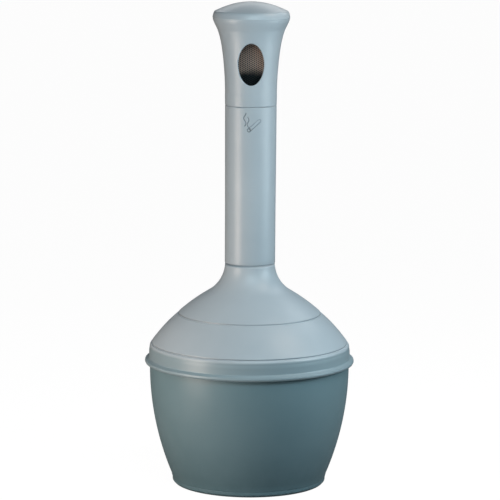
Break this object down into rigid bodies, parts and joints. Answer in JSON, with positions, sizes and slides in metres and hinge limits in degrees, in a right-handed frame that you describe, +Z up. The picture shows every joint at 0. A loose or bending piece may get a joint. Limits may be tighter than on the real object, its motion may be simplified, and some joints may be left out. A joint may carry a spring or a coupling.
{
  "type": "cigarette receptacle",
  "caption": "Free-standing moulded receptacle for cigarette ends: port and stub plate in a tall neck, lift-off domed bonnet, pot base and steel liner pail.",
  "frame": {"origin": "centre of the foot ring, on the floor", "axes": "+Z up along the turning axis, the port faces -Y, +X to the right of somebody facing the port"},
  "size_m": [0.4244, 0.4244, 0.978],
  "materials": {
    "grey_plastic": "satin moulded polyethylene, cool grey",
    "galvanised_steel": "galvanised sheet and wire",
    "stub_steel": "dull weathered stainless sheet",
    "fastener_steel": "plated steel",
    "black_rubber": "matt black"
  },
  "bodies": {
    "base": {"base_pot": "grey_plastic", "anchor_plug_1": "black_rubber", "anchor_plug_2": "black_rubber", "anchor_plug_3": "black_rubber"},
    "pail": {"pail_body": "galvanised_steel", "pail_bottom": "galvanised_steel", "pail_rim_wire": "galvanised_steel", "pail_ear_left": "galvanised_steel", "pail_ear_right": "galvanised_steel", "pail_rivet_left_1": "fastener_steel", "pail_rivet_left_2": "fastener_steel", "pail_rivet_right_1": "fastener_steel", "pail_rivet_right_2": "fastener_steel"},
    "bail": {"pail_bail": "galvanised_steel"},
    "bonnet": {"dome_cover": "grey_plastic", "neck_tube": "grey_plastic", "head_hood": "grey_plastic", "plate_ring": "stub_steel", "stub_plate": "stub_steel", "plate_rivet_1": "fastener_steel", "plate_rivet_2": "fastener_steel", "neck_screw_lower_1": "fastener_steel", "neck_screw_lower_2": "fastener_steel", "neck_screw_upper_1": "fastener_steel", "neck_screw_upper_2": "fastener_steel"}
  },
  "joints": [
    {"name": "pail_lift", "type": "slide", "parent": "base", "child": "pail", "axis": [0, 0, 1], "range_m": [0, 0.28]},
    {"name": "bonnet_lift", "type": "slide", "parent": "pail", "child": "bonnet", "axis": [0, 0, 1], "range_m": [0, 0.3]},
    {"name": "bail_swing", "type": "hinge", "parent": "pail", "child": "bail", "pos_m": [0, 0, 0.205], "axis": [1, 0, 0], "range_deg": [0, 240]}
  ]
}
